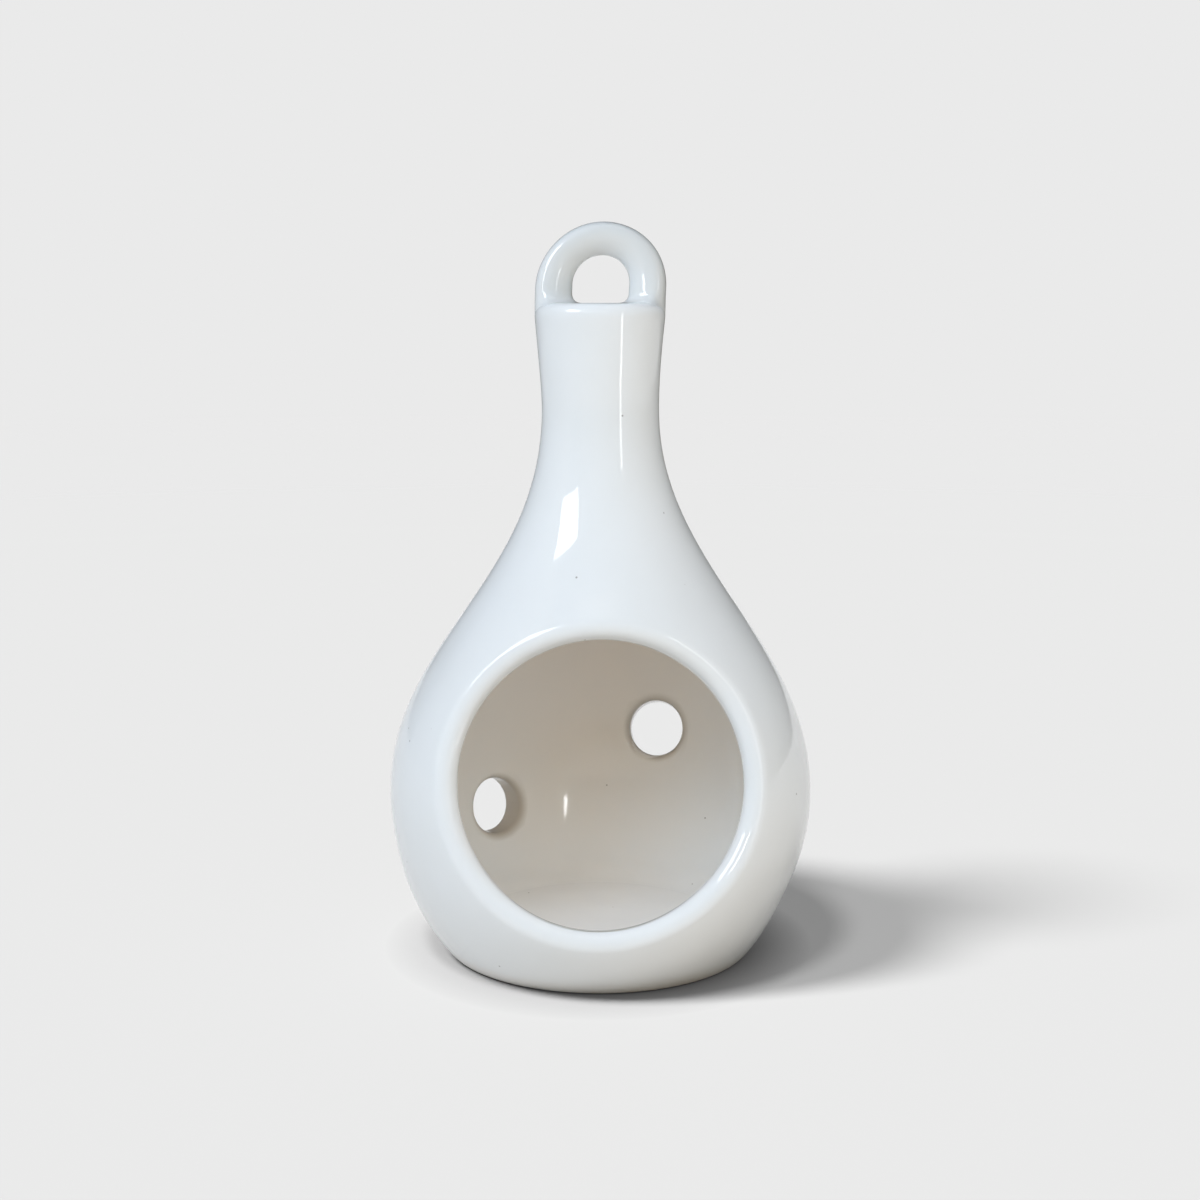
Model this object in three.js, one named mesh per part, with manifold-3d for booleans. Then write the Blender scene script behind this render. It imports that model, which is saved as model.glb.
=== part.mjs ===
// Hanging air plant holder: a glazed pear with a round mouth, two vents and a hanging loop on its neck.
// Millimetres, +Z up. The origin is the middle of the foot's underside, and the mouth faces -Y.
import * as THREE from 'three';
import { mergeVertices } from 'three/addons/utils/BufferGeometryUtils.js';
import Module from 'manifold-3d';

// Driving dimensions, in millimetres and degrees

// Gap that the slip fills where two clay pieces meet
const SLIP_GAP = 0.3;

// Floor disc, which is also the foot: its edge lies this far in from the belly's
const FOOT_INSET = 13.4;
const FLOOR_THICKNESS = 4;
const FOOT_CHAMFER = 0.6;

// Pear's outside, from the foot up to the end of the neck
const WALL_LIFT = 0.3;
const UNDERSIDE_ANGLE = 28;
const UNDERSIDE_SWEEP = 1.5;
const BELLY_RADIUS = 48.3;
const BELLY_HEIGHT = 36.7;
const BELLY_SWEEP = 34.3;
const SHOULDER_RISE = 87.3;
const WAIST_RADIUS = 13.1;
const WAIST_SWEEP = 37.1;
const NECK_RISE = 23.3;
const NECK_FLARE = 1.4;
const NECK_SWEEP = 1;
const RIM_ROUNDING = 2.4;

// Pear's inside: the wall's thickness, and the corner where it leaves the floor
const WALL = 6;
const CORNER_ANGLE = 75;
const CORNER_SWEEP = 8;
const INNER_BELLY_SWEEP = 16;

// Mouth and vents: azimuths run from the front (-Y) towards +X, and a hole can be turned off square
const LIP_RADIUS = 2.5;
const MOUTH_RADIUS = 30.8;
const MOUTH_HEIGHT = 48.4;
const MOUTH_AZIMUTH = 0;
const MOUTH_TILT = 12;
const VENT_RADIUS = 7.1;
const BACK_VENT_AZIMUTH = 161.5;
const BACK_VENT_HEIGHT = 40.8;
const BACK_VENT_TURN = 6;
const BACK_VENT_TILT = -9;
const SIDE_VENT_AZIMUTH = 220.5;
const SIDE_VENT_HEIGHT = 23.4;
const SIDE_VENT_TURN = 7;
const SIDE_VENT_TILT = 0;

// Plug that closes the neck's bore
const PLUG_THICKNESS = 6;

// Hanging loop: a bar that stands on the neck in an arch, flush with the neck's sides
const LEG_DIAMETER = 8.2;
const CROWN_DIAMETER = 7.3;
const LEG_HEIGHT = 3.65;
const LOOP_FILLET = 2;

// Fineness of the facets
const TURN_STEPS = 60;
const UNDERSIDE_STEPS = 7;
const SHOULDER_STEPS = 12;
const NECK_STEPS = 5;
const MOUTH_STEPS = 48;
const VENT_STEPS = 28;
const LIP_SIDES = 8;
const BAR_SIDES = 14;
const ARCH_STEPS = 18;
const FILLET_STEPS = 3;
const HALVINGS = 40;
const VERTEX_MERGE = 1e-4;

// Places that follow from the driving dimensions
const footRadius = BELLY_RADIUS - FOOT_INSET;
const seamRadius = footRadius + SLIP_GAP;
const waistHeight = BELLY_HEIGHT + SHOULDER_RISE;
const neckTop = waistHeight + NECK_RISE;
const neckRadius = WAIST_RADIUS + NECK_FLARE;
const rimBase = neckTop - RIM_ROUNDING;
const boreRadius = neckRadius - WALL;

const radians = THREE.MathUtils.degToRad;
const at = (radius, height) => new THREE.Vector2(radius, height);
const polar = (angle, length) => at(Math.cos(radians(angle)) * length, Math.sin(radians(angle)) * length);

// The pear's outlines

const belly = at(BELLY_RADIUS, BELLY_HEIGHT);
const waist = at(WAIST_RADIUS, waistHeight);
const undersideStart = at(seamRadius, WALL_LIFT);
const undersideGuide = polar(UNDERSIDE_ANGLE, UNDERSIDE_SWEEP).add(undersideStart);

// Guide lengths across the belly and the waist that keep the bend equal on both sides of each
const shoulderFall = BELLY_RADIUS - WAIST_RADIUS;
const bellySweepDown = BELLY_SWEEP * Math.sqrt((BELLY_RADIUS - undersideGuide.x) / shoulderFall);
const waistSweepUp = WAIST_SWEEP * Math.sqrt(NECK_FLARE / shoulderFall);

const underside = new THREE.CubicBezierCurve(
  undersideStart,
  undersideGuide,
  at(BELLY_RADIUS, BELLY_HEIGHT - bellySweepDown),
  belly,
);
const shoulder = new THREE.CubicBezierCurve(
  belly,
  at(BELLY_RADIUS, BELLY_HEIGHT + BELLY_SWEEP),
  at(WAIST_RADIUS, waistHeight - WAIST_SWEEP),
  waist,
);
const neck = new THREE.CubicBezierCurve(
  waist,
  at(WAIST_RADIUS, waistHeight + waistSweepUp),
  at(neckRadius, rimBase - NECK_SWEEP),
  at(neckRadius, rimBase),
);
const innerStart = at(seamRadius, FLOOR_THICKNESS);
const innerBelly = at(BELLY_RADIUS - WALL, BELLY_HEIGHT);
const innerCorner = new THREE.CubicBezierCurve(
  innerStart,
  polar(CORNER_ANGLE, CORNER_SWEEP).add(innerStart),
  at(BELLY_RADIUS - WALL, BELLY_HEIGHT - INNER_BELLY_SWEEP),
  innerBelly,
);

// Points along a curve, moved inwards square to it by a depth
function inset(curve, steps, depth) {
  return Array.from({ length: steps + 1 }, (_, step) => {
    const along = step / steps;
    const tangent = curve.getTangent(along);
    return curve.getPoint(along).add(at(-tangent.y, tangent.x).multiplyScalar(depth));
  });
}

// Quarter round from a vertical side to a flat top
function rimArc(grow) {
  const arc = new THREE.EllipseCurve(
    neckRadius - RIM_ROUNDING, rimBase, RIM_ROUNDING + grow, RIM_ROUNDING + grow, 0, Math.PI / 2,
  );
  return arc.getPoints(FILLET_STEPS);
}

const outside = [
  ...underside.getPoints(UNDERSIDE_STEPS),
  ...shoulder.getPoints(SHOULDER_STEPS).slice(1),
  ...neck.getPoints(NECK_STEPS).slice(1),
];
const inside = [
  ...innerCorner.getPoints(UNDERSIDE_STEPS),
  ...inset(shoulder, SHOULDER_STEPS, WALL).slice(1),
  ...inset(neck, NECK_STEPS, WALL).slice(1),
  at(boreRadius, neckTop),
];

// Radius of an outline at a height
function radiusAt(outline, height) {
  const above = outline.findIndex((spot) => spot.y > height);
  const upper = above < 0 ? outline.length - 1 : Math.max(above, 1);
  const [low, high] = [outline[upper - 1], outline[upper]];
  return THREE.MathUtils.mapLinear(height, low.y, high.y, low.x, high.x);
}

const middleRadius = (height) => (radiusAt(outside, height) + radiusAt(inside, height)) / 2;

// Solids

// Turns a profile about the Z axis
function turned(profile) {
  return new THREE.LatheGeometry(profile, TURN_STEPS).rotateX(Math.PI / 2);
}

const wasm = await Module();
wasm.setup();

function toSolid(geometry) {
  const bare = geometry.clone();
  bare.deleteAttribute('normal');
  bare.deleteAttribute('uv');
  const merged = mergeVertices(bare, VERTEX_MERGE);
  const index = Array.from(merged.index.array);
  const triangles = [];
  for (let i = 0; i < index.length; i += 3) {
    const corners = index.slice(i, i + 3);
    if (new Set(corners).size === 3) triangles.push(...corners);
  }
  return new wasm.Manifold(new wasm.Mesh({
    numProp: 3,
    vertProperties: new Float32Array(merged.attributes.position.array),
    triVerts: new Uint32Array(triangles),
  }));
}

function toGeometry(solid) {
  const mesh = solid.getMesh();
  const geometry = new THREE.BufferGeometry();
  geometry.setAttribute('position', new THREE.BufferAttribute(new Float32Array(mesh.vertProperties), 3));
  geometry.setIndex(new THREE.BufferAttribute(new Uint32Array(mesh.triVerts), 1));
  geometry.computeVertexNormals();
  return geometry;
}

// Curve where a round hole's cylinder meets the middle of the wall
class RimCurve extends THREE.Curve {
  constructor(hole, radius) {
    super();
    this.hole = hole;
    this.radius = radius;
  }

  // Distance along the hole's axis to the wall, found by halving
  depthAt(spot) {
    let near = -BELLY_RADIUS;
    let far = BELLY_RADIUS;
    for (let step = 0; step < HALVINGS; step += 1) {
      const depth = (near + far) / 2;
      const probe = spot.clone().addScaledVector(this.hole.out, depth);
      const past = Math.hypot(probe.x, probe.y) > middleRadius(probe.z);
      if (past) far = depth;
      else near = depth;
    }
    return near;
  }

  getPoint(share) {
    const angle = share * 2 * Math.PI;
    const { middle, across, up, out } = this.hole;
    const spot = middle.clone();
    spot.addScaledVector(across, Math.cos(angle) * this.radius);
    spot.addScaledVector(up, Math.sin(angle) * this.radius);
    return spot.addScaledVector(out, this.depthAt(spot));
  }
}

// A hole's place on the wall and its directions
function hole(azimuth, height, turn, tilt) {
  const place = radians(azimuth);
  const facing = radians(azimuth + turn);
  const lean = radians(tilt);
  const wall = middleRadius(height);
  const across = new THREE.Vector3(Math.cos(facing), Math.sin(facing), 0);
  const out = new THREE.Vector3(
    Math.sin(facing) * Math.cos(lean), -Math.cos(facing) * Math.cos(lean), Math.sin(lean),
  );
  const up = new THREE.Vector3().crossVectors(out, across);
  const middle = new THREE.Vector3(Math.sin(place) * wall, -Math.cos(place) * wall, height);
  return { middle, across, out, up };
}

// Cylinder that cuts a hole through one side of the wall
function drill(opening, radius, steps) {
  const rim = new RimCurve(opening, radius).getPoints(steps);
  const depths = rim.map((spot) => spot.sub(opening.middle).dot(opening.out));
  const near = Math.min(...depths) - 2 * WALL;
  const far = BELLY_RADIUS;
  const place = new THREE.Matrix4().makeBasis(opening.across, opening.out, opening.up.clone().negate());
  place.setPosition(opening.middle.clone().addScaledVector(opening.out, (near + far) / 2));
  return toSolid(new THREE.CylinderGeometry(radius, radius, far - near, steps).applyMatrix4(place));
}

// Pear wall: belly, shoulder and neck in one, open at the bottom and at the top of the neck
function bodyWall() {
  const profile = [...outside, ...rimArc(0).slice(1), ...inside.slice().reverse(), outside[0]];
  const mouth = hole(MOUTH_AZIMUTH, MOUTH_HEIGHT, 0, MOUTH_TILT);
  const lipRun = new RimCurve(mouth, MOUTH_RADIUS + LIP_RADIUS);
  const lip = new THREE.TubeGeometry(lipRun, MOUTH_STEPS, LIP_RADIUS, LIP_SIDES, true);
  const vents = [
    hole(BACK_VENT_AZIMUTH, BACK_VENT_HEIGHT, BACK_VENT_TURN, BACK_VENT_TILT),
    hole(SIDE_VENT_AZIMUTH, SIDE_VENT_HEIGHT, SIDE_VENT_TURN, SIDE_VENT_TILT),
  ];
  let wall = toSolid(turned(profile));
  wall = wall.subtract(drill(mouth, MOUTH_RADIUS + LIP_RADIUS, MOUTH_STEPS)).add(toSolid(lip));
  for (const vent of vents) wall = wall.subtract(drill(vent, VENT_RADIUS, VENT_STEPS));
  return toGeometry(wall);
}

// Floor disc that the wall is luted around, and that the holder stands on
function floorDisc() {
  return turned([
    at(0, 0),
    at(footRadius - FOOT_CHAMFER, 0),
    at(footRadius, FOOT_CHAMFER),
    at(footRadius, FLOOR_THICKNESS),
    at(0, FLOOR_THICKNESS),
  ]);
}

// Tapered plug, wedged in the top of the neck's bore and flush with the rim
function neckPlug() {
  const base = neckTop - PLUG_THICKNESS;
  return turned([
    at(0, base),
    at(radiusAt(inside, base) - SLIP_GAP, base),
    at(boreRadius - SLIP_GAP, neckTop),
    at(0, neckTop),
  ]);
}

// Closed solid through rings of points, capped at both ends
function lofted(rings) {
  const sides = rings[0].length;
  const spots = rings.flat();
  const first = spots.length;
  const middleOf = (ring) => ring.reduce((sum, spot) => sum.add(spot), new THREE.Vector3()).divideScalar(sides);
  spots.push(middleOf(rings[0]), middleOf(rings.at(-1)));
  const triangles = [];
  for (let side = 0; side < sides; side += 1) {
    const next = (side + 1) % sides;
    for (let ring = 0; ring + 1 < rings.length; ring += 1) {
      const low = ring * sides;
      const high = low + sides;
      triangles.push(low + side, high + next, low + next, low + side, high + side, high + next);
    }
    const last = (rings.length - 1) * sides;
    triangles.push(first, side, next, first + 1, last + next, last + side);
  }
  const geometry = new THREE.BufferGeometry().setFromPoints(spots);
  geometry.setIndex(triangles);
  return geometry;
}

// Ring of points round the loop's bar, square to its run in the XZ plane
function barRing(x, z, heading, radius) {
  return Array.from({ length: BAR_SIDES }, (_, side) => {
    const angle = (side / BAR_SIDES) * 2 * Math.PI;
    const aside = Math.cos(angle) * radius;
    const deep = Math.sin(angle) * radius;
    return new THREE.Vector3(x - Math.sin(heading) * aside, deep, z + Math.cos(heading) * aside);
  });
}

// Rings of one leg from its foot up: the fillet grows inwards and leaves the outer side flush with the neck
function legRings(side) {
  const legRadius = LEG_DIAMETER / 2;
  const heights = [-RIM_ROUNDING];
  for (let step = 0; step <= FILLET_STEPS; step += 1) {
    heights.push(LOOP_FILLET * (1 - Math.cos((step / FILLET_STEPS) * (Math.PI / 2))));
  }
  return heights.map((height) => {
    const fall = LOOP_FILLET - Math.max(height, 0);
    const flare = (LOOP_FILLET - Math.sqrt(LOOP_FILLET ** 2 - fall ** 2)) / 2;
    const x = side * (neckRadius - legRadius - flare);
    return barRing(x, neckTop + height, side * Math.PI / 2, legRadius + flare);
  });
}

// Loop: a leg up, half a turn that thins towards the crown, and a leg down
function hangingLoop() {
  const archRadius = neckRadius - LEG_DIAMETER / 2;
  const arch = [];
  for (let step = 0; step <= ARCH_STEPS; step += 1) {
    const angle = (step / ARCH_STEPS) * Math.PI;
    const x = Math.cos(angle) * archRadius;
    const z = neckTop + LEG_HEIGHT + Math.sin(angle) * archRadius;
    const diameter = THREE.MathUtils.lerp(LEG_DIAMETER, CROWN_DIAMETER, Math.sin(angle));
    arch.push(barRing(x, z, angle + Math.PI / 2, diameter / 2));
  }
  const farLeg = legRings(-1).reverse();
  const bar = lofted([...legRings(1), ...arch, ...farLeg]);
  const clearance = turned([
    at(0, waistHeight),
    at(neckRadius + SLIP_GAP, waistHeight),
    ...rimArc(SLIP_GAP),
    at(0, neckTop + SLIP_GAP),
  ]);
  return toGeometry(toSolid(bar).subtract(toSolid(clearance)));
}

// Assembly

function glaze(color, roughness) {
  return new THREE.MeshStandardMaterial({ color, roughness, metalness: 0 });
}

function piece(name, geometry, material) {
  const mesh = new THREE.Mesh(geometry, material);
  mesh.name = name;
  return mesh;
}

const holder = new THREE.Group();
holder.name = 'hanging_air_plant_holder';
holder.add(
  piece('body_wall', bodyWall(), glaze(0xe9e8e4, 0.1)),
  piece('floor_disc', floorDisc(), glaze(0xe2dfd7, 0.3)),
  piece('neck_plug', neckPlug(), glaze(0xe9e8e4, 0.1)),
  piece('hanging_loop', hangingLoop(), glaze(0xebebe8, 0.1)),
);

export default holder;
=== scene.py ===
"""Looks of the hanging air plant holder: a white glazed pear with a mouth, two vents and a loop.

Everything is in metres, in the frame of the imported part: +Z up, the mouth towards -Y, the foot at z = 0.
"""

import math

import bpy
import numpy as np
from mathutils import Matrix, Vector


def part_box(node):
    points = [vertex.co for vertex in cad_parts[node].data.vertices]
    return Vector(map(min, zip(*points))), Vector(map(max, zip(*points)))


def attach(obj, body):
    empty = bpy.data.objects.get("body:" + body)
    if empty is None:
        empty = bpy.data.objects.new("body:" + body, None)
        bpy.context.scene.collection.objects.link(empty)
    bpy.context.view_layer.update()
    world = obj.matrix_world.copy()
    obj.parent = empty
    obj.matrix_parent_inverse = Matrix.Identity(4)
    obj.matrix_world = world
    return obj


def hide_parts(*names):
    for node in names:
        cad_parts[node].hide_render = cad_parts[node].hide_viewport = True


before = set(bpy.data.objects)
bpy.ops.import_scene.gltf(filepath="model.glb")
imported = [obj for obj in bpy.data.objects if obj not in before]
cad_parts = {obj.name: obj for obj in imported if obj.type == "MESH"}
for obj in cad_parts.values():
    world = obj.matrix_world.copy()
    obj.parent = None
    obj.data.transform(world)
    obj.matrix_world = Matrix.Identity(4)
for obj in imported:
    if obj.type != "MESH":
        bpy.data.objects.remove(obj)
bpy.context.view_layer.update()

# Sizes that the frame gives

wall_low, wall_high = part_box("body_wall")
_, floor_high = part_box("floor_disc")
plug_low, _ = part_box("neck_plug")
_, loop_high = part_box("hanging_loop")
belly_radius = wall_high.x
wall_foot = wall_low.z
neck_top = wall_high.z
foot_radius = floor_high.x
floor_top = floor_high.z
plug_bottom = plug_low.z
loop_top = loop_high.z

# Pear, in metres and degrees: the solids' own sizes, with a softer rim and a wider inner corner

MM = 0.001
SLIP_GAP = 0.3 * MM
FOOT_ROUNDING = 0.6 * MM
UNDERSIDE_ANGLE = 28
UNDERSIDE_SWEEP = 1.5 * MM
BELLY_HEIGHT = 36.7 * MM
BELLY_SWEEP = 34.3 * MM
SHOULDER_RISE = 87.3 * MM
WAIST_RADIUS = 13.1 * MM
WAIST_SWEEP = 37.1 * MM
NECK_FLARE = 1.4 * MM
NECK_SWEEP = 1 * MM
RIM_ROUNDING = 2.8 * MM
RIM_PULL = 0.65
WALL = 6 * MM
CORNER_ANGLE = 75
CORNER_SWEEP = 8 * MM
INNER_BELLY_SWEEP = 16 * MM
CORNER_ROUNDING = 7 * MM

# Mouth and vents: the solids' own sizes, with softer edges and the vents aimed a little differently

MOUTH_RADIUS = 30.8 * MM
MOUTH_AZIMUTH = 0
MOUTH_HEIGHT = 48.4 * MM
MOUTH_TURN = 0
MOUTH_TILT = 12
LIP_ROUNDING = 2.9 * MM
VENT_RADIUS = 7.1 * MM
VENT_GLAZE = 0.4 * MM
VENT_REACH = 2 * WALL
VENT_OUTER_ROUNDING = 0.4 * MM
VENT_INNER_ROUNDING = 1.8 * MM
BACK_VENT_AZIMUTH = 161.45
BACK_VENT_HEIGHT = 40.4 * MM
BACK_VENT_TURN = 13
BACK_VENT_TILT = -17
SIDE_VENT_AZIMUTH = 219.3
SIDE_VENT_HEIGHT = 23.1 * MM
SIDE_VENT_TURN = 9
SIDE_VENT_TILT = 0

# Loop: the solid's own sizes, with its feet blended into the neck and its ridge nearer the outside

LEG_RADIUS = 4.1 * MM
CROWN_RADIUS = 3.65 * MM
LEG_HEIGHT = 3.65 * MM
INNER_FILLET = 2.5 * MM
FRONT_FILLET = 1.6 * MM
OUTER_FILLET = 1.5 * MM
FILLET_PULL = 0.5
LOOP_SKEW = 0.32
LOOP_SINK = 0.5 * MM

# How the hand-made form strays to the right: swells of the body by height, spread and shift, and the loop

SWELLS = [
    (10 * MM, 20 * MM, -0.55 * MM),
    (84 * MM, 35 * MM, 0.46 * MM),
    (138 * MM, 16 * MM, -0.16 * MM),
]
LOOP_LEAN = 0.7 * MM

# Where the inside is painted darker and warmer as painted shade in the hollow: past a share of the wall's
# depth, more so higher up; and next to the foot, where the glaze is thin

INNER_SHADE_DEPTH = 0.8
INNER_SHADE_HEIGHT = 60 * MM
FOOT_BARE = 4 * MM

# Fineness of the meshes, and of the steps that find places and slopes

TURN_STEPS = 192
UNDERSIDE_ROWS = 36
SHOULDER_ROWS = 72
NECK_ROWS = 18
ROUNDING_ROWS = 10
PATCH_ROWS = 6
WINDOW_MARGIN = 3
BAR_STEPS = 40
ARCH_STEPS = 64
LEG_STEPS = 4
HALVINGS = 50
SETTLE_STEPS = 12
OUTLINE_SAMPLES = 6001
HOLE_STEP = 0.05 * MM
RIM_STEP = 0.01 * MM
SHARP_ANGLE = 50

# Places that follow from these sizes

seam_radius = foot_radius + SLIP_GAP
waist_height = BELLY_HEIGHT + SHOULDER_RISE
neck_radius = WAIST_RADIUS + NECK_FLARE
rim_base = neck_top - RIM_ROUNDING
rim_radius = neck_radius - RIM_ROUNDING
bore_radius = neck_radius - WALL
plug_radius = bore_radius - SLIP_GAP / 2
arch_radius = neck_radius - LEG_RADIUS
arch_height = neck_top + LEG_HEIGHT


# Curves

def full_turn(steps):
    """Even angles once round, from 0 on."""
    return np.arange(steps) * 2 * np.pi / steps


def cubic(start, leave, arrive, end, on):
    """Points of cubic curves, told by their ends and two guide points, at shares from 0 to 1."""
    to = 1 - on
    return to**3 * start + 3 * to**2 * on * leave + 3 * to * on**2 * arrive + on**3 * end


# Outlines of the pear

class Outline:
    """Cubic curves end to end in (radius, height), each moved inwards square to itself by its inset.

    A place on it is a number: 0 to 1 on the first curve, 1 to 2 on the second, and so on.
    """

    def __init__(self, curves, insets):
        self.curves = np.array(curves)
        self.insets = np.array(insets)
        self.places = np.linspace(0, len(curves), OUTLINE_SAMPLES)
        self.radii, self.heights = self.at(self.places)[0].T

    def at(self, places):
        """Points there, and the directions square to the outline, away from the pear's axis."""
        places = np.asarray(places, float)
        index = np.clip(places.astype(int), 0, len(self.curves) - 1)
        start, leave, arrive, end = np.moveaxis(self.curves[index], 1, 0)
        on = (places - index)[:, None]
        to = 1 - on
        points = cubic(start, leave, arrive, end, on)
        slopes = to**2 * (leave - start) + 2 * to * on * (arrive - leave) + on**2 * (end - arrive)
        square = np.stack([slopes[:, 1], -slopes[:, 0]], axis=1)
        square /= np.linalg.norm(square, axis=1, keepdims=True)
        return points - self.insets[index][:, None] * square, square

    def radius(self, heights):
        """Radii of the outline at heights."""
        return np.interp(heights, self.heights, self.radii)

    def place(self, heights):
        """Places on the outline at heights."""
        return np.interp(heights, self.heights, self.places)


def guide(start, angle, length):
    """Guide point of a curve that leaves a start at an angle above level."""
    turn = math.radians(angle)
    return start[0] + math.cos(turn) * length, start[1] + math.sin(turn) * length


belly = (belly_radius, BELLY_HEIGHT)
waist = (WAIST_RADIUS, waist_height)
rim_start = (neck_radius, rim_base)
underside_start = (seam_radius, wall_foot)
underside_guide = guide(underside_start, UNDERSIDE_ANGLE, UNDERSIDE_SWEEP)
shoulder_fall = belly_radius - WAIST_RADIUS
belly_sweep_down = BELLY_SWEEP * math.sqrt((belly_radius - underside_guide[0]) / shoulder_fall)
waist_sweep_up = WAIST_SWEEP * math.sqrt(NECK_FLARE / shoulder_fall)
shoulder = [
    belly,
    (belly_radius, BELLY_HEIGHT + BELLY_SWEEP),
    (WAIST_RADIUS, waist_height - WAIST_SWEEP),
    waist,
]
neck = [
    waist,
    (WAIST_RADIUS, waist_height + waist_sweep_up),
    (neck_radius, rim_base - NECK_SWEEP),
    rim_start,
]
underside = [
    underside_start,
    underside_guide,
    (belly_radius, BELLY_HEIGHT - belly_sweep_down),
    belly,
]
corner_start = (seam_radius, floor_top)
inner_corner = [
    corner_start,
    guide(corner_start, CORNER_ANGLE, CORNER_SWEEP),
    (belly_radius - WALL, BELLY_HEIGHT - INNER_BELLY_SWEEP),
    (belly_radius - WALL, BELLY_HEIGHT),
]
outside = Outline([underside, shoulder, neck], [0, 0, 0])
inside = Outline([inner_corner, shoulder, neck], [0, WALL, WALL])


def spin(profile, azimuths):
    """Points at (radius, height), turned to azimuths that run from the front towards +X."""
    radius, height = np.moveaxis(np.asarray(profile), -1, 0)
    radius, height, azimuths = np.broadcast_arrays(radius, height, azimuths)
    return np.stack([radius * np.sin(azimuths), -radius * np.cos(azimuths), height], axis=-1)


def arc(centre, radius, start, end, steps):
    """Points of an arc in (radius, height), with its angles in degrees."""
    turn = np.radians(np.linspace(start, end, steps + 1))
    return np.stack([centre[0] + radius * np.cos(turn), centre[1] + radius * np.sin(turn)], axis=1)


def rim_edge(shares):
    """Points in (radius, height) over the rounded rim, from the neck's side to its flat end."""
    start = np.array([neck_radius, rim_base])
    end = np.array([rim_radius, neck_top])
    leave = np.array([neck_radius, rim_base + RIM_PULL * RIM_ROUNDING])
    arrive = np.array([rim_radius + RIM_PULL * RIM_ROUNDING, neck_top])
    return cubic(start, leave, arrive, end, np.asarray(shares)[:, None])


def stray(heights):
    """How far to the right the form lies there: its swells, and the loop's lean up to its crown."""
    up = np.clip((heights - neck_top) / (loop_top - neck_top), 0, 1)
    shifts = LOOP_LEAN * up**2 * (3 - 2 * up)
    for height, spread, shift in SWELLS:
        away = np.clip((heights - height) / spread, -1, 1)
        shifts = shifts + shift * (1 - away**2) ** 2
    return shifts


def inner_shade_and_thin_glaze(points):
    """Share of painted shade inside the hollow, more so higher up, and of thin glaze next to the foot: 0
    where the glaze is full, 1 at most.
    """
    heights = points[:, 2]
    depth = (outside.radius(heights) - np.hypot(points[:, 0], points[:, 1])) / WALL
    deep = np.clip((depth - INNER_SHADE_DEPTH) / (1 - INNER_SHADE_DEPTH), 0, 1)
    within = deep * np.clip((heights - floor_top) / INNER_SHADE_HEIGHT, 0, 1)
    within = np.where(heights < plug_bottom, within, 0)
    return np.maximum(within, np.clip(1 - heights / FOOT_BARE, 0, 1))


def vent_shade(points):
    """Share of painted shade in the vents: 1 on a vent's wall, 0 past its rounded edges."""
    shares = np.zeros(len(points))
    for vent in vents:
        offset = points - vent.middle
        along = offset @ vent.out
        reach = np.linalg.norm(offset - along[:, None] * vent.out, axis=1)
        rounding = np.where(along < 0, VENT_INNER_ROUNDING, VENT_OUTER_ROUNDING)
        share = np.clip(1 - (reach - vent.radius) / rounding, 0, 1)
        shares = np.maximum(shares, np.where(np.abs(along) < VENT_REACH, share, 0))
    return shares


# Meshes

class Build:
    """Points and faces of one piece while it is put together."""

    def __init__(self):
        self.points = []
        self.faces = []
        self.count = 0

    def add(self, points):
        """Adds an array of points, and gives their numbers in an array of the same form."""
        points = np.asarray(points, float)
        numbers = np.arange(points.size // 3).reshape(points.shape[:-1]) + self.count
        self.points.append(points.reshape(-1, 3))
        self.count += points.size // 3
        return numbers

    def band(self, ring, following, keep=None):
        """Quads from one closed ring to the following one, all of them or those to keep."""
        quads = np.stack([ring, np.roll(ring, -1), np.roll(following, -1), following], axis=1)
        self.faces.extend(quads[keep].tolist() if keep is not None else quads.tolist())

    def bands(self, rings):
        """Quads between all rings that follow one another."""
        for ring, following in zip(rings, rings[1:]):
            self.band(ring, following)

    def piece(self, name, material, node):
        """Makes the object, which stands for a node of the frame and rides on its body."""
        used = np.unique(np.concatenate([np.array(face) for face in self.faces]))
        points = np.concatenate(self.points)
        # Shares of painted shade inside the hollow and in the vents, and of thin glaze by the foot
        shares = {"inner_shade_and_thin_glaze": inner_shade_and_thin_glaze(points)[used], "vent_shade": vent_shade(points)[used]}
        points[:, 0] += stray(points[:, 2])
        number = np.zeros(len(points), int)
        number[used] = np.arange(len(used))
        faces = [number[face].tolist() for face in self.faces]
        mesh = bpy.data.meshes.new(name)
        mesh.from_pydata(points[used].tolist(), [], faces)
        for share, values in shares.items():
            mesh.attributes.new(share, "FLOAT", "POINT").data.foreach_set("value", values)
        mesh.materials.append(material)
        mesh.shade_smooth()
        mesh.set_sharp_from_angle(angle=math.radians(SHARP_ANGLE))
        made = bpy.data.objects.new(name, mesh)
        bpy.context.scene.collection.objects.link(made)
        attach(made, "root")
        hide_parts(node)
        return made


def turned(build, profile):
    """A closed profile turned about the pear's axis, from its first point on the axis to its last."""
    azimuths = full_turn(TURN_STEPS)
    rings = build.add(spin(np.asarray(profile)[1:-1, None, :], azimuths[None, :]))
    ends = build.add(spin(np.asarray(profile)[[0, -1]], np.zeros(2)))
    build.bands(list(rings))
    for column in range(TURN_STEPS):
        after = (column + 1) % TURN_STEPS
        build.faces.append([ends[0], rings[0][after], rings[0][column]])
        build.faces.append([ends[1], rings[-1][column], rings[-1][after]])


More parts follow.
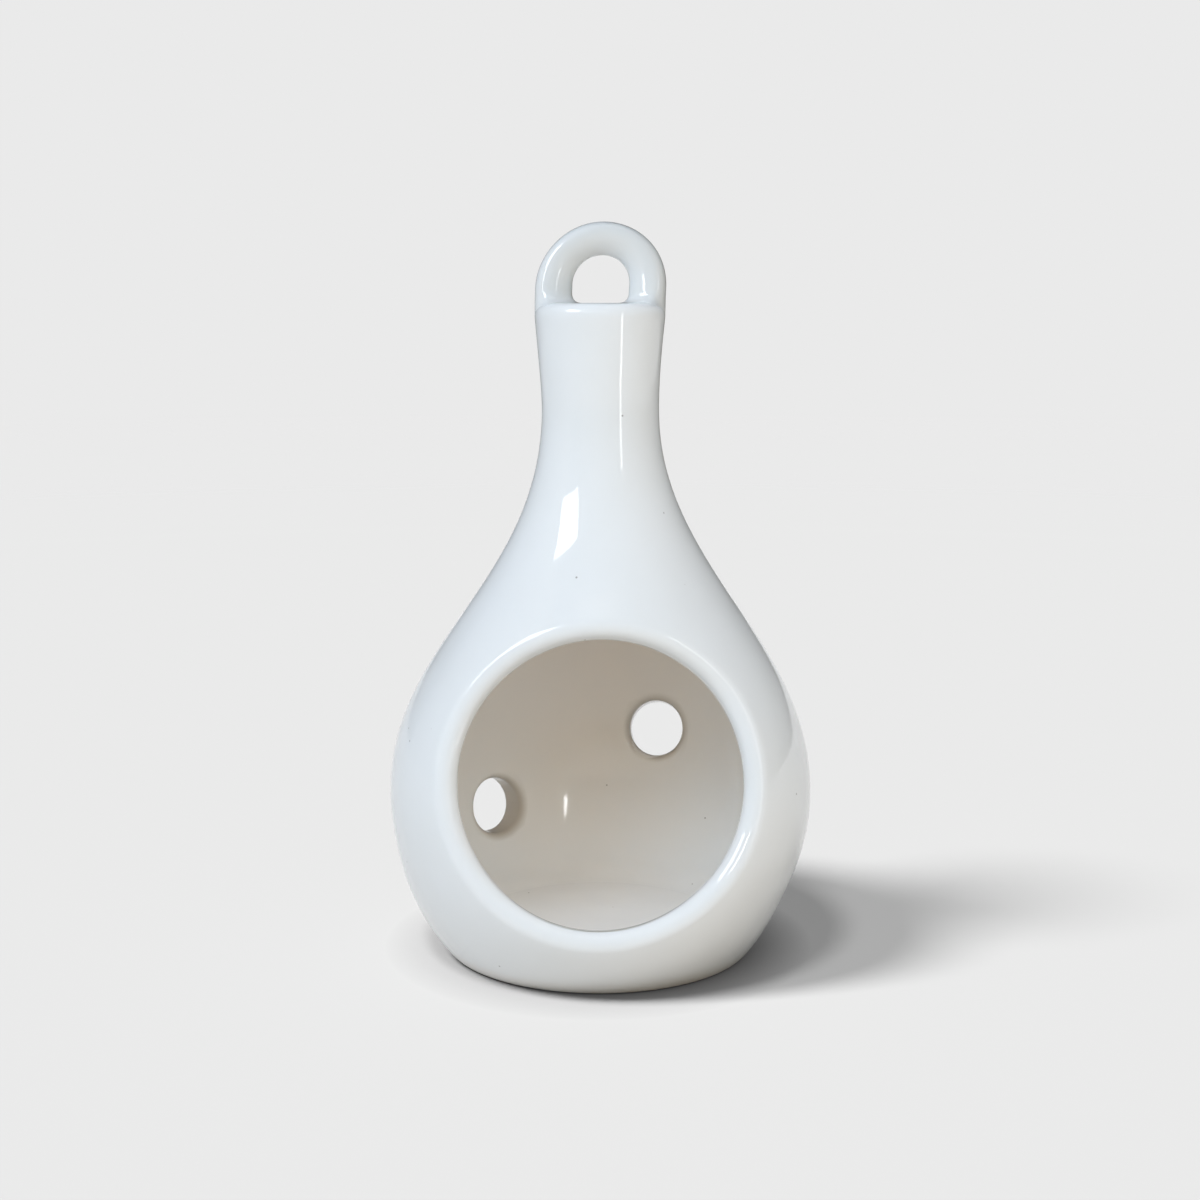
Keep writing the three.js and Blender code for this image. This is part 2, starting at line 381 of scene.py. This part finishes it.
class Hole:
    """A round hole through the wall, with rounded edges outside and inside."""

    def __init__(self, radius, azimuth, height, turn, tilt, outer_rounding, inner_rounding):
        place = math.radians(azimuth)
        facing = math.radians(azimuth + turn)
        lean = math.radians(tilt)
        middle_radius = float(outside.radius(height) + inside.radius(height)) / 2
        self.radius = radius
        self.azimuth = place
        self.roundings = {outside: outer_rounding, inside: inner_rounding}
        self.middle = spin((middle_radius, height), place)
        self.across = np.array([math.cos(facing), math.sin(facing), 0])
        self.out = np.append(spin((math.cos(lean), 0), facing)[:2], math.sin(lean))
        self.up = np.cross(self.out, self.across)

    def spot(self, angles, reach, depth):
        """Points of the hole's own frame: round its axis, out from its axis and along it."""
        aside = np.cos(angles)[:, None] * self.across + np.sin(angles)[:, None] * self.up
        return self.middle + reach[:, None] * aside + depth[:, None] * self.out

    def depth(self, outline, angles, reach):
        """How far along the axis a surface of the wall lies, found by halving."""
        near = np.full(len(angles), -belly_radius)
        far = -near
        for _ in range(HALVINGS):
            middle = (near + far) / 2
            probe = self.spot(angles, reach, middle)
            past = np.hypot(probe[:, 0], probe[:, 1]) > outline.radius(probe[:, 2])
            far = np.where(past, middle, far)
            near = np.where(past, near, middle)
        return near

    def edge(self, outline, angles):
        """Rings of the rounded edge on one side of the wall, from the wall's surface into the hole."""
        rounding = self.roundings[outline]
        side = 1 if outline is outside else -1
        reach = np.full(len(angles), self.radius + rounding)
        for _ in range(SETTLE_STEPS):
            nearer = self.depth(outline, angles, reach - HOLE_STEP)
            further = self.depth(outline, angles, reach + HOLE_STEP)
            slope = (further - nearer) / (2 * HOLE_STEP)
            lean = slope / np.hypot(1, slope)
            reach = self.radius + rounding * (1 - side * lean)
        centre = self.depth(outline, angles, reach) - side * rounding / np.hypot(1, slope)
        start = np.arctan2(1, -side * slope)
        rings = []
        for share in np.linspace(0, 1, ROUNDING_ROWS + 1):
            turn = start + share * (np.pi - start)
            out = self.radius + rounding + rounding * np.cos(turn)
            rings.append(self.spot(angles, out, centre + side * rounding * np.sin(turn)))
        return rings

    def angles(self, points):
        """Angles of points round the hole's axis."""
        offset = points - self.middle
        return np.arctan2(offset @ self.up, offset @ self.across)


class Wall:
    """The pear's wall as one closed grid of rows and columns, with windows where holes are set in."""

    def __init__(self):
        self.build = Build()
        self.places = np.concatenate([
            np.arange(UNDERSIDE_ROWS) / UNDERSIDE_ROWS,
            np.arange(SHOULDER_ROWS) / SHOULDER_ROWS + 1,
            np.arange(NECK_ROWS + 1) / NECK_ROWS + 2,
        ])
        corner, corner_end = self.corner()
        lower = self.places < 1
        self.inner_places = np.where(lower, corner_end + (1 - corner_end) * self.places, self.places)
        outer_rows = outside.at(self.places)[0]
        inner_rows = inside.at(self.inner_places)[0]
        rim = rim_edge(np.linspace(0, 1, ROUNDING_ROWS + 1))
        bore = [(plug_radius, neck_top), (plug_radius, neck_top - RIM_ROUNDING)]
        seam = [(foot_radius, floor_top), (foot_radius, wall_foot)]
        profile = np.concatenate([outer_rows, rim[1:], bore, inner_rows[::-1], corner[1:], seam])
        self.inner_top = len(outer_rows) + len(rim) - 1 + len(bore)
        self.grid = self.build.add(spin(profile[:, None, :], full_turn(TURN_STEPS)[None, :]))
        self.kept = np.ones(self.grid.shape, bool)

    def corner(self):
        """Arc from the inside of the wall to the floor, and the place on the inside where it starts."""
        points, square = inside.at(inside.places)
        offset = points - CORNER_ROUNDING * square
        first = np.argmax(offset[:, 1] > floor_top + CORNER_ROUNDING)
        lean = math.degrees(math.atan2(square[first][1], square[first][0]))
        rounding = arc(offset[first], CORNER_ROUNDING, lean, -90, ROUNDING_ROWS)
        return rounding, inside.places[first]

    def row(self, outline, place):
        """Row of the grid for a row of one surface."""
        return place if outline is outside else self.inner_top + len(self.places) - 1 - place

    def window(self, hole):
        """First and last rows and columns that hold the hole, its edges and a margin, on both surfaces."""
        angles = full_turn(TURN_STEPS)
        rows = []
        columns = []
        for outline, places in ((outside, self.places), (inside, self.inner_places)):
            rim = hole.edge(outline, angles)[0]
            turn = np.arctan2(rim[:, 0], -rim[:, 1]) - hole.azimuth
            columns.append((turn + np.pi) % (2 * np.pi) - np.pi)
            rows.append(np.searchsorted(places, outline.place(rim[:, 2])))
        pitch = 2 * np.pi / TURN_STEPS
        middle = round(hole.azimuth / pitch)
        left = middle + math.floor(np.min(columns) / pitch) - WINDOW_MARGIN
        right = middle + math.ceil(np.max(columns) / pitch) + WINDOW_MARGIN
        return np.min(rows) - WINDOW_MARGIN, np.max(rows) + WINDOW_MARGIN, left, right

    def frame_of(self, low, high, left, right):
        """Rows and columns round a window, anticlockwise as seen from outside."""
        across = np.arange(left, right)
        rise = np.arange(low, high)
        rows = np.concatenate([np.full(len(across), low), rise, np.full(len(across), high), rise[::-1] + 1])
        columns = np.concatenate([
            across, np.full(len(rise), right), across[::-1] + 1, np.full(len(rise), left),
        ])
        return rows, columns

    def patch(self, outline, hole, rows, columns):
        """Rings on one surface, from a window's frame to the hole's edge and over its rounding."""
        places = self.places if outline is outside else self.inner_places
        turns = columns * 2 * np.pi / TURN_STEPS
        frame_points = spin(outline.at(places[rows])[0], turns)
        edge = hole.edge(outline, hole.angles(frame_points))
        edge_places = outline.place(edge[0][:, 2])
        edge_turns = np.arctan2(edge[0][:, 0], -edge[0][:, 1])
        edge_turns = turns + (edge_turns - turns + np.pi) % (2 * np.pi) - np.pi
        rings = [self.grid[self.row(outline, rows), columns % TURN_STEPS]]
        for share in np.arange(1, PATCH_ROWS) / PATCH_ROWS:
            between = places[rows] + share * (edge_places - places[rows])
            turned_to = turns + share * (edge_turns - turns)
            rings.append(self.build.add(spin(outline.at(between)[0], turned_to)))
        return rings + [self.build.add(ring) for ring in edge]

    def cut(self, hole):
        """Opens a window on both surfaces and fills it up to the hole, with rings through the wall."""
        low, high, left, right = self.window(hole)
        rows, columns = self.frame_of(low, high, left, right)
        hidden = np.arange(left, right) % TURN_STEPS
        for outline in (outside, inside):
            ends = sorted((self.row(outline, low), self.row(outline, high)))
            self.kept[ends[0]:ends[1], hidden] = False
        outer = self.patch(outside, hole, rows, columns)
        inner = self.patch(inside, hole, rows, columns)
        self.build.bands(outer + inner[::-1])

    def finish(self, name, material, node):
        """Makes the object from the kept part of the grid and what the holes have added."""
        following = np.roll(self.grid, -1, axis=0)
        for row in range(len(self.grid)):
            self.build.band(self.grid[row], following[row], self.kept[row])
        return self.build.piece(name, material, node)


def vent(azimuth, height, turn, tilt):
    """A vent, a little narrower than it was cut because of the glaze in it."""
    radius = VENT_RADIUS - VENT_GLAZE
    return Hole(radius, azimuth, height, turn, tilt, VENT_OUTER_ROUNDING, VENT_INNER_ROUNDING)


vents = [
    vent(BACK_VENT_AZIMUTH, BACK_VENT_HEIGHT, BACK_VENT_TURN, BACK_VENT_TILT),
    vent(SIDE_VENT_AZIMUTH, SIDE_VENT_HEIGHT, SIDE_VENT_TURN, SIDE_VENT_TILT),
]


def pear_wall(material):
    """Belly, shoulder and neck in one, with the mouth and the two vents cut through."""
    wall = Wall()
    facing = (MOUTH_AZIMUTH, MOUTH_HEIGHT, MOUTH_TURN, MOUTH_TILT)
    wall.cut(Hole(MOUTH_RADIUS, *facing, LIP_ROUNDING, LIP_ROUNDING))
    for hole in vents:
        wall.cut(hole)
    return wall.finish("pear_wall", material, "body_wall")


def floor_plate(material, clay):
    """Floor inside and foot underneath, with its lower edge rounded and bare clay where it stands."""
    build = Build()
    foot = arc((foot_radius - FOOT_ROUNDING, FOOT_ROUNDING), FOOT_ROUNDING, -90, 0, ROUNDING_ROWS)
    turned(build, [(0, 0), *foot, (foot_radius, floor_top), (0, floor_top)])
    made = build.piece("floor_plate", material, "floor_disc")
    made.data.materials.append(clay)
    for face in made.data.polygons:
        face.material_index = int(face.center.z < FOOT_LINE)
    return made


def neck_stopper(material):
    """Plug in the top of the neck's bore, flush with the rim."""
    build = Build()
    bottom_radius = float(inside.radius(plug_bottom)) - SLIP_GAP / 2
    turned(build, [
        (0, plug_bottom),
        (bottom_radius, plug_bottom),
        (plug_radius, rim_base),
        (plug_radius, neck_top),
        (0, neck_top),
    ])
    return build.piece("neck_stopper", material, "neck_plug")


def rim_height(radius):
    """Height of the neck's end at a distance from the axis: flat, then over the rounded rim."""
    edge = rim_edge(np.linspace(1, 0, OUTLINE_SAMPLES))
    return np.interp(radius, edge[:, 0], edge[:, 1])


def foot_rings(side):
    """Rings of one leg's foot, from inside the neck over the fillet to the straight bar."""
    turns = full_turn(BAR_STEPS)
    outwards = np.cos(turns)
    across = np.sin(turns)
    lean = outwards + LOOP_SKEW * across**2
    bar = np.full(BAR_STEPS, LEG_RADIUS)
    width = INNER_FILLET * (1 - outwards) / 2 + OUTER_FILLET * (1 + outwards) / 2
    width = width + FRONT_FILLET * across**2

    # A fillet that is too wide for the neck's end stops at its side, and the rest of it runs down there
    spread = lean**2 + across**2
    offset = arch_radius * lean
    room = (np.sqrt(offset**2 + spread * (neck_radius**2 - arch_radius**2)) - offset) / spread
    far = np.minimum(bar + width, room)

    def away(reach):
        return arch_radius + reach * lean

    def spot(reach, height):
        return np.stack([side * away(reach), reach * across, height], axis=1)

    def neck_height(reach):
        return rim_height(np.hypot(away(reach), reach * across))

    # It leaves the neck along the slope of its end at the toe, and meets the bar upright at its top
    slope = (neck_height(far) - neck_height(far - RIM_STEP)) / RIM_STEP
    low = neck_height(far) - (bar + width - far)
    high = neck_height(bar) + width
    pull = FILLET_PULL * np.hypot(far - bar, high - low)
    steep = np.hypot(1, slope)
    level = pull / steep
    toe = spot(far, low)
    toe[:, :2] *= np.minimum(1, outside.radius(low) / np.linalg.norm(toe[:, :2], axis=1))[:, None]
    leave = spot(far - level, low - slope * level)
    arrive = spot(bar, high - pull)
    top = spot(bar, high)
    rings = [spot(far + LOOP_SINK * slope / steep, low - LOOP_SINK / steep)]
    for share in np.linspace(0, 1, ROUNDING_ROWS + 1):
        rings.append(cubic(toe, leave, arrive, top, share))
    for share in np.arange(1, LEG_STEPS) / LEG_STEPS:
        ring = top.copy()
        ring[:, 2] += share * (arch_height - ring[:, 2])
        rings.append(ring)
    return rings


def hanging_bow(material):
    """Rounded bar in an arch on the neck, thinner at the crown, with its ridge nearer the outside."""
    turns = full_turn(BAR_STEPS)
    arch = []
    for share in np.arange(ARCH_STEPS + 1) / ARCH_STEPS:
        angle = share * np.pi
        outwards = np.array([math.cos(angle), 0, math.sin(angle)])
        radius = LEG_RADIUS + (CROWN_RADIUS - LEG_RADIUS) * math.sin(angle)
        middle = np.array([0, 0, arch_height]) + arch_radius * outwards
        ring = middle + radius * (np.cos(turns) + LOOP_SKEW * np.sin(turns) ** 2)[:, None] * outwards
        ring[:, 1] += radius * np.sin(turns)
        arch.append(ring)
    build = Build()
    rings = [build.add(ring) for ring in foot_rings(1) + arch + foot_rings(-1)[::-1]]
    build.bands(rings)
    build.faces.append(rings[0][::-1].tolist())
    build.faces.append(rings[-1].tolist())
    return build.piece("hanging_bow", material, "hanging_loop")


# Materials: each noise has a scale and a detail

GLAZE_FULL = (0.90, 0.89, 0.865, 1)
GLAZE_LEAN = (0.88, 0.87, 0.84, 1)
GLAZE_SHADE_AND_THIN = (0.8, 0.74, 0.66, 1)
GLAZE_VENT_SHADE = (0.52, 0.47, 0.40, 1)
NOISE_RANGE = (0.35, 0.65)
TONE_NOISE = (35, 3)
GLOSS_NOISE = (20, 2)
GLOSS_RANGE = (0.03, 0.07)
GLAZE_INDEX = 1.5
SPECK = (0.45, 0.42, 0.38, 1)
SPECK_SCALE = 130
SPECK_EDGES = (0.022, 0.036)
SWELL_NOISE = (60, 1)
SWELL_DEPTH = 0.3 * MM
PEEL_NOISE = (900, 2)
PEEL_DEPTH = 0.004 * MM
CLAY_PALE = (0.80, 0.76, 0.69, 1)
CLAY_DARK = (0.70, 0.65, 0.57, 1)
CLAY_ROUGHNESS = 0.8
GRIT_NOISE = (1500, 4)
GRIT_DEPTH = 0.05 * MM
RING_SCALE = 90
RING_WOBBLE = 1.5
FOOT_LINE = 0.2 * MM


class Paint:
    """A material, with short ways to add nodes to it."""

    def __init__(self, name):
        self.material = bpy.data.materials.new(name)
        self.material.use_nodes = True
        self.tree = self.material.node_tree
        self.shader = self.tree.nodes["Principled BSDF"]
        self.places = self.tree.nodes.new("ShaderNodeTexCoord").outputs["Object"]

    def node(self, kind, inputs, **settings):
        """Adds a node, with a value or another node's socket for each input."""
        made = self.tree.nodes.new(kind)
        for name, value in settings.items():
            setattr(made, name, value)
        for name, value in inputs.items():
            self.feed(made, name, value)
        return made

    def feed(self, node, name, value):
        """Sets an input, or links another node's socket to it."""
        if isinstance(value, bpy.types.NodeSocket):
            self.tree.links.new(value, node.inputs[name])
        else:
            node.inputs[name].default_value = value

    def noise(self, scale, detail):
        """Noise over the object's own places."""
        inputs = {"Vector": self.places, "Scale": scale, "Detail": detail}
        return self.node("ShaderNodeTexNoise", inputs).outputs["Fac"]

    def share(self, name):
        """Share that the points of a mesh carry."""
        return self.node("ShaderNodeAttribute", {}, attribute_name=name).outputs["Fac"]

    def spread(self, value, start, end, first, last):
        """Maps a value that runs from a start to an end on to a range, and clamps it."""
        inputs = {"Value": value, "From Min": start, "From Max": end, "To Min": first, "To Max": last}
        return self.node("ShaderNodeMapRange", inputs).outputs["Result"]

    def mix(self, factor, first, second):
        """Colour from the first to the second as the factor goes from 0 to 1."""
        inputs = {"Factor": factor, "A": first, "B": second}
        return self.node("ShaderNodeMix", inputs, data_type="RGBA").outputs["Result"]

    def bump(self, height, depth, normal=None):
        """Normals of a surface that rises with a height, on top of other bumps where there are any."""
        inputs = {"Height": height, "Distance": depth}
        if normal is not None:
            inputs["Normal"] = normal
        return self.node("ShaderNodeBump", inputs).outputs["Normal"]


def white_glaze():
    """Glossy glaze, uneven by hand, warmer where it is thin by the foot, with painted shade inside the
    hollow and in the vents, and with a few specks.
    """
    paint = Paint("white_glaze")
    fullness = paint.spread(paint.noise(*TONE_NOISE), *NOISE_RANGE, 0, 1)
    tone = paint.mix(fullness, GLAZE_LEAN, GLAZE_FULL)
    # Painted shade: the inside of the hollow darker and warmer, more so higher up; thin glaze by the foot
    tone = paint.mix(paint.share("inner_shade_and_thin_glaze"), tone, GLAZE_SHADE_AND_THIN)
    # Painted shade: the vents' walls darker, fading out over their rounded edges
    tone = paint.mix(paint.share("vent_shade"), tone, GLAZE_VENT_SHADE)
    cells = paint.node("ShaderNodeTexVoronoi", {"Vector": paint.places, "Scale": SPECK_SCALE})
    specks = paint.spread(cells.outputs["Distance"], *SPECK_EDGES, 1, 0)
    paint.feed(paint.shader, "Base Color", paint.mix(specks, tone, SPECK))
    gloss = paint.spread(paint.noise(*GLOSS_NOISE), *NOISE_RANGE, *GLOSS_RANGE)
    paint.feed(paint.shader, "Roughness", gloss)
    swell = paint.bump(paint.noise(*SWELL_NOISE), SWELL_DEPTH)
    paint.feed(paint.shader, "Normal", paint.bump(paint.noise(*PEEL_NOISE), PEEL_DEPTH, swell))
    paint.feed(paint.shader, "IOR", GLAZE_INDEX)
    return paint.material


def bare_clay():
    """Fired clay under the foot, wiped clean of glaze, with rings from the wheel."""
    paint = Paint("bare_clay")
    rings = paint.node(
        "ShaderNodeTexWave",
        {"Vector": paint.places, "Scale": RING_SCALE, "Distortion": RING_WOBBLE},
        wave_type="RINGS", rings_direction="Z",
    ).outputs["Fac"]
    grit = paint.noise(*GRIT_NOISE)
    shade = paint.mix(rings, paint.mix(grit, CLAY_DARK, CLAY_PALE), CLAY_PALE)
    paint.feed(paint.shader, "Base Color", shade)
    paint.feed(paint.shader, "Roughness", CLAY_ROUGHNESS)
    paint.feed(paint.shader, "Normal", paint.bump(grit, GRIT_DEPTH))
    return paint.material


# Stage

CAMERA_PLACE = (0, -0.410, 0.1473)
CAMERA_TILT = 9.246
CAMERA_TURN = 0.016
CAMERA_LENS = 54.735
CAMERA_SENSOR = 36
MIDDLE = (0, 0, 0.08)
SUN_DISTANCE = 1.2
SCREEN_RADIUS = 1.6
SCREEN_HEIGHT = 2.5
SCREEN_STEP = 5

# Room and floor: where no shadow falls, the suns on the floor's shade and its shadow light add up to pale

BLACK = (0, 0, 0)
PALE = (0.823, 0.823, 0.823)
FLOOR_SIZE = 8
FLOOR_FADE = (0.8, 2.0)
FLOOR_SHADE = (0.1, 0.1, 0.1)
FLOOR_BOUNCE = (0.085, 0.085, 0.085)
SHADOW_LIGHT = (0.245, 0.245, 0.245)
CONTACT_REACH = 12 * MM

# What reflections see round the holder: a name, the azimuths from and to, and the shade

SCREENS = [
    ("front_screen", -60, 40, (0.20, 0.25, 0.30)),
    ("right_screen", 40, 180, (0.12, 0.11, 0.09)),
    ("back_screen", 180, 205, (0.3, 0.3, 0.3)),
    ("left_back_screen", 205, 230, (0.48, 0.48, 0.48)),
    ("left_screen", 230, 300, (0.66, 0.66, 0.66)),
]

# Lamps that light the holder but don't show in it: a name, azimuth, elevation, distance, size and radiance

SOFTBOXES = [
    ("left_box", -90, 20, 1.2, (1, 1), (1.1, 1.1, 1.1)),
    ("left_front_box", -45, 20, 1.2, (1, 1), (0.55, 0.9, 1.2)),
    ("front_box", 0, 20, 1.2, (1, 1), (0.7, 0.45, 0.1)),
    ("right_front_box", 45, 20, 1.2, (1, 1), (0.2, 0.3, 0.3)),
    ("right_box", 90, 20, 1.2, (1, 1), (0.75, 0.85, 1.0)),
    ("high_left_box", -18, 44, 1.2, (0.7, 0.7), (3.1, 3.6, 4.3)),
    ("upper_box", -10, 57, 1.2, (0.4, 0.4), (1.2, 1.4, 2.0)),
    ("near_left_box", -45, -3, 0.35, (0.2, 0.1), (0.5, 0.6, 0.9)),
    ("near_right_box", 58, -8, 0.35, (0.2, 0.06), (1.9, 1.6, 1.2)),
    ("inner_box", 0, 90, 0.015, (0.02, 0.02), (4.2, 4.0, 3.9)),
]

# More of them, which light all but the loop

BODY_BOXES = [
    ("high_right_box", 35, 44, 1.2, (0.7, 0.7), (1.3, 1.35, 1.5)),
    ("low_right_box", 30, 6, 1.2, (0.5, 0.2), (2.1, 2.1, 2.2)),
]

# Lamps that show in the glaze but hardly light it, told in the same way

GLINTS = [
    ("window_glint", -53, 34.5, 1.2, (0.50, 0.38), (8, 8.3, 8.6)),
    ("strip_glint", 39, 8.5, 0.5, (0.03, 0.252), (7, 7, 7)),
    ("right_inner_glint", 30.8, -38.4, 0.07, (0.0025, 0.014), (20, 20, 20)),
]

# More of them, which show in the loop alone

LOOP_GLINTS = [
    ("left_loop_glint", -43, 25, 0.5, (0.08, 0.36), (9, 9, 9.4)),
]

# Parallel light on the floor alone, for the shadow: a name, azimuth, elevation, softness and strength

SUNS = [
    ("left_sun", -72, 54, 17, 16.17),
    ("left_front_sun", -38, 68, 10, 5.47),
]


def camera():
    """Camera before the mouth, a little above it."""
    data = bpy.data.cameras.new("camera")
    data.lens = CAMERA_LENS
    data.sensor_width = CAMERA_SENSOR
    made = bpy.data.objects.new("camera", data)
    made.location = CAMERA_PLACE
    made.rotation_euler = (math.radians(90 - CAMERA_TILT), 0, math.radians(CAMERA_TURN))
    bpy.context.scene.collection.objects.link(made)
    bpy.context.scene.camera = made


def pale_to_lookers(tree, pale, else_colour):
    """Colour socket that is pale to the camera, reflections and glass, and another colour to other rays."""
    path = tree.nodes.new("ShaderNodeLightPath")
    looking = path.outputs["Is Camera Ray"]
    for ray in ("Is Glossy Ray", "Is Transmission Ray"):
        either = tree.nodes.new("ShaderNodeMath")
        either.operation = "MAXIMUM"
        tree.links.new(looking, either.inputs[0])
        tree.links.new(path.outputs[ray], either.inputs[1])
        looking = either.outputs[0]
    mix = tree.nodes.new("ShaderNodeMix")
    mix.data_type = "RGBA"
    mix.inputs["A"].default_value = (*else_colour, 1)
    mix.inputs["B"].default_value = (*pale, 1)
    tree.links.new(looking, mix.inputs["Factor"])
    return mix.outputs["Result"]


def room():
    """Surroundings: pale to whatever looks at them, and no light of their own."""
    world = bpy.data.worlds.new("room")
    world.use_nodes = True
    tree = world.node_tree
    colour = pale_to_lookers(tree, PALE, BLACK)
    tree.links.new(colour, tree.nodes["Background"].inputs["Color"])
    bpy.context.scene.world = world


def floor():
    """Plain pale surface under the holder, darker next to its foot, which fades out into the room."""
    bpy.ops.mesh.primitive_plane_add(size=FLOOR_SIZE)
    made = bpy.context.object
    made.name = "stage_floor"
    paint = Paint("stage_floor")
    paint.tree.nodes.remove(paint.shader)
    shade = pale_to_lookers(paint.tree, FLOOR_SHADE, FLOOR_BOUNCE)
    matt = paint.node("ShaderNodeBsdfDiffuse", {"Color": shade})
    # Painted light and shade: a glow that lifts the shadow, painted darker next to the foot as contact
    # shade
    light = pale_to_lookers(paint.tree, SHADOW_LIGHT, BLACK)
    unblocked = paint.node("ShaderNodeAmbientOcclusion", {"Color": light, "Distance": CONTACT_REACH})
    glow = paint.node("ShaderNodeEmission", {"Color": unblocked.outputs["Color"]})
    surface = paint.node("ShaderNodeAddShader", {0: matt.outputs["BSDF"], 1: glow.outputs["Emission"]})
    clear = paint.node("ShaderNodeBsdfTransparent", {})
    distance = paint.node("ShaderNodeVectorMath", {0: paint.places}, operation="LENGTH").outputs["Value"]
    fade = paint.node("ShaderNodeMixShader", {0: paint.spread(distance, *FLOOR_FADE, 0, 1)})
    paint.feed(fade, 1, surface.outputs["Shader"])
    paint.feed(fade, 2, clear.outputs["BSDF"])
    paint.feed(paint.tree.nodes["Material Output"], "Surface", fade.outputs["Shader"])
    made.data.materials.append(paint.material)
    return made


def screen(name, start, end, shade):
    """Curved dim screen round the holder, which only reflections see."""
    steps = (end - start) // SCREEN_STEP
    turns = np.radians(np.linspace(start, end, steps + 1))
    low = spin((SCREEN_RADIUS, 0), turns)
    high = spin((SCREEN_RADIUS, SCREEN_HEIGHT), turns)
    quads = [[column, column + 1, column + steps + 2, column + steps + 1] for column in range(steps)]
    mesh = bpy.data.meshes.new("stage_" + name)
    mesh.from_pydata(np.concatenate([low, high]).tolist(), [], quads)
    material = bpy.data.materials.new("stage_" + name)
    material.use_nodes = True
    tree = material.node_tree
    tree.nodes.remove(tree.nodes["Principled BSDF"])
    glow = tree.nodes.new("ShaderNodeEmission")
    glow.inputs["Color"].default_value = (*shade, 1)
    tree.links.new(glow.outputs["Emission"], tree.nodes["Material Output"].inputs["Surface"])
    mesh.materials.append(material)
    made = bpy.data.objects.new("stage_" + name, mesh)
    bpy.context.scene.collection.objects.link(made)
    made.visible_camera = False
    made.visible_diffuse = False
    made.visible_transmission = False
    made.visible_shadow = False


def around(azimuth, elevation, distance):
    """Place round the holder: azimuths run from the front towards +X."""
    turn = math.radians(azimuth)
    rise = math.radians(elevation)
    level = distance * math.cos(rise)
    offset = Vector((level * math.sin(turn), -level * math.cos(turn), distance * math.sin(rise)))
    return Vector(MIDDLE) + offset


def lit(name, *members):
    """Collection of the objects that some lamps light."""
    made = bpy.data.collections.new(name)
    for member in members:
        made.objects.link(member)
    return made


def lamp(data, place, receivers):
    """Lamp at a place, turned towards the middle of the holder, which lights its receivers alone."""
    made = bpy.data.objects.new(data.name, data)
    made.location = place
    made.rotation_euler = (Vector(MIDDLE) - Vector(place)).to_track_quat("-Z", "Y").to_euler()
    made.visible_camera = False
    made.light_linking.receiver_collection = receivers
    bpy.context.scene.collection.objects.link(made)
    return made


def panel(name, place, size, radiance, receivers):
    """Flat lamp of an even radiance in each colour: its power is pi times its area for a radiance of 1."""
    data = bpy.data.lights.new(name, "AREA")
    data.shape = "RECTANGLE"
    data.size, data.size_y = size
    data.energy = math.pi * size[0] * size[1]
    data.color = radiance
    return lamp(data, place, receivers)


def softbox(name, azimuth, elevation, distance, size, radiance, receivers):
    """Panel that lights the glaze but doesn't show in it."""
    made = panel(name, around(azimuth, elevation, distance), size, radiance, receivers)
    made.visible_glossy = False


def glint(name, azimuth, elevation, distance, size, radiance, receivers):
    """Panel that shows in the glaze but hardly lights it."""
    made = panel(name, around(azimuth, elevation, distance), size, radiance, receivers)
    made.visible_diffuse = False


def sun(name, azimuth, elevation, softness, strength, receivers):
    """Lamp of parallel light."""
    data = bpy.data.lights.new(name, "SUN")
    data.energy = strength
    data.angle = math.radians(softness)
    lamp(data, around(azimuth, elevation, SUN_DISTANCE), receivers)


def lights(pieces, floor_object):
    """All lamps, each with what it lights."""
    *body_pieces, bow_piece = pieces
    holder = lit("holder", *pieces)
    body = lit("body", *body_pieces)
    bow = lit("bow", bow_piece)
    ground = lit("ground", floor_object)
    for box in SOFTBOXES:
        softbox(*box, holder)
    for box in BODY_BOXES:
        softbox(*box, body)
    for shine in GLINTS:
        glint(*shine, holder)
    for shine in LOOP_GLINTS:
        glint(*shine, bow)
    for beam in SUNS:
        sun(*beam, ground)


camera()
room()
glaze = white_glaze()
pieces = [pear_wall(glaze), floor_plate(glaze, bare_clay()), neck_stopper(glaze), hanging_bow(glaze)]
for part in SCREENS:
    screen(*part)
lights(pieces, floor())

bpy.context.scene.view_settings.view_transform = "Standard"
